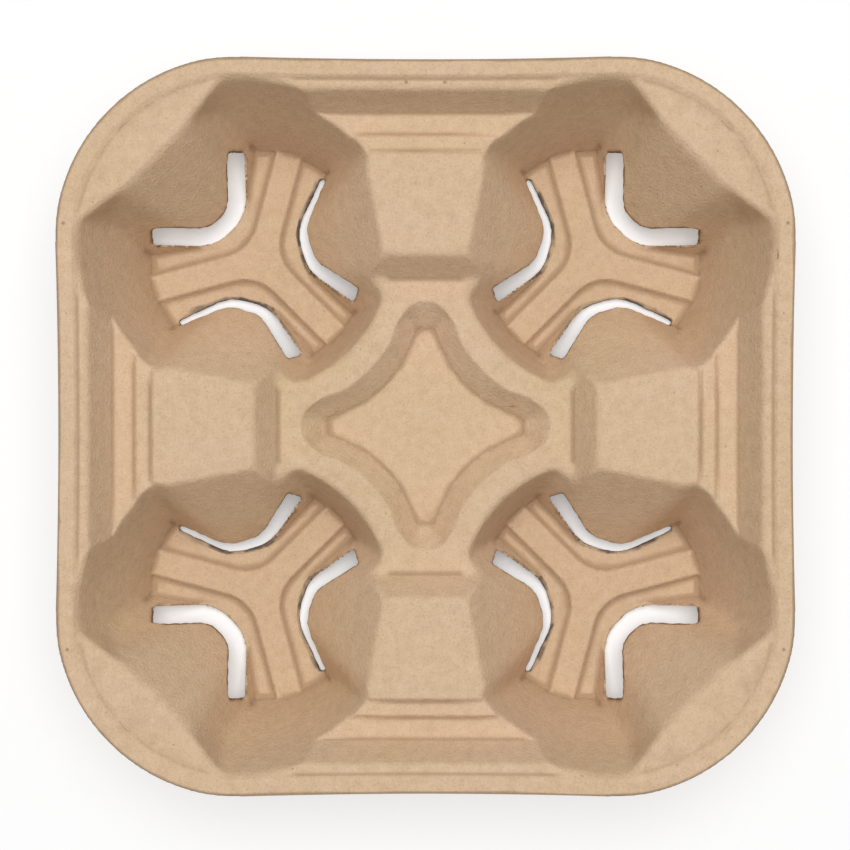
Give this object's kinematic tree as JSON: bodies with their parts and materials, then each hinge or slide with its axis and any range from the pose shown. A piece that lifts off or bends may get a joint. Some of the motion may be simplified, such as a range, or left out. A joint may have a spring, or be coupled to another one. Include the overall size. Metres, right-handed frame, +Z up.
{
  "type": "cup carrier",
  "caption": "Square moulded-pulp tray with round corners that carries drinks cups in deep pockets, each with slit flaps that grip the cup.",
  "frame": {"origin": "centre of the tray on the table", "axes": "+Z up, +X and +Y along the sides, +Y towards the top of the picture"},
  "size_m": [0.215, 0.215, 0.045],
  "materials": {
    "pulp": "matt, fibrous"
  },
  "bodies": {
    "root": {"carrier": "pulp"}
  },
  "joints": []
}
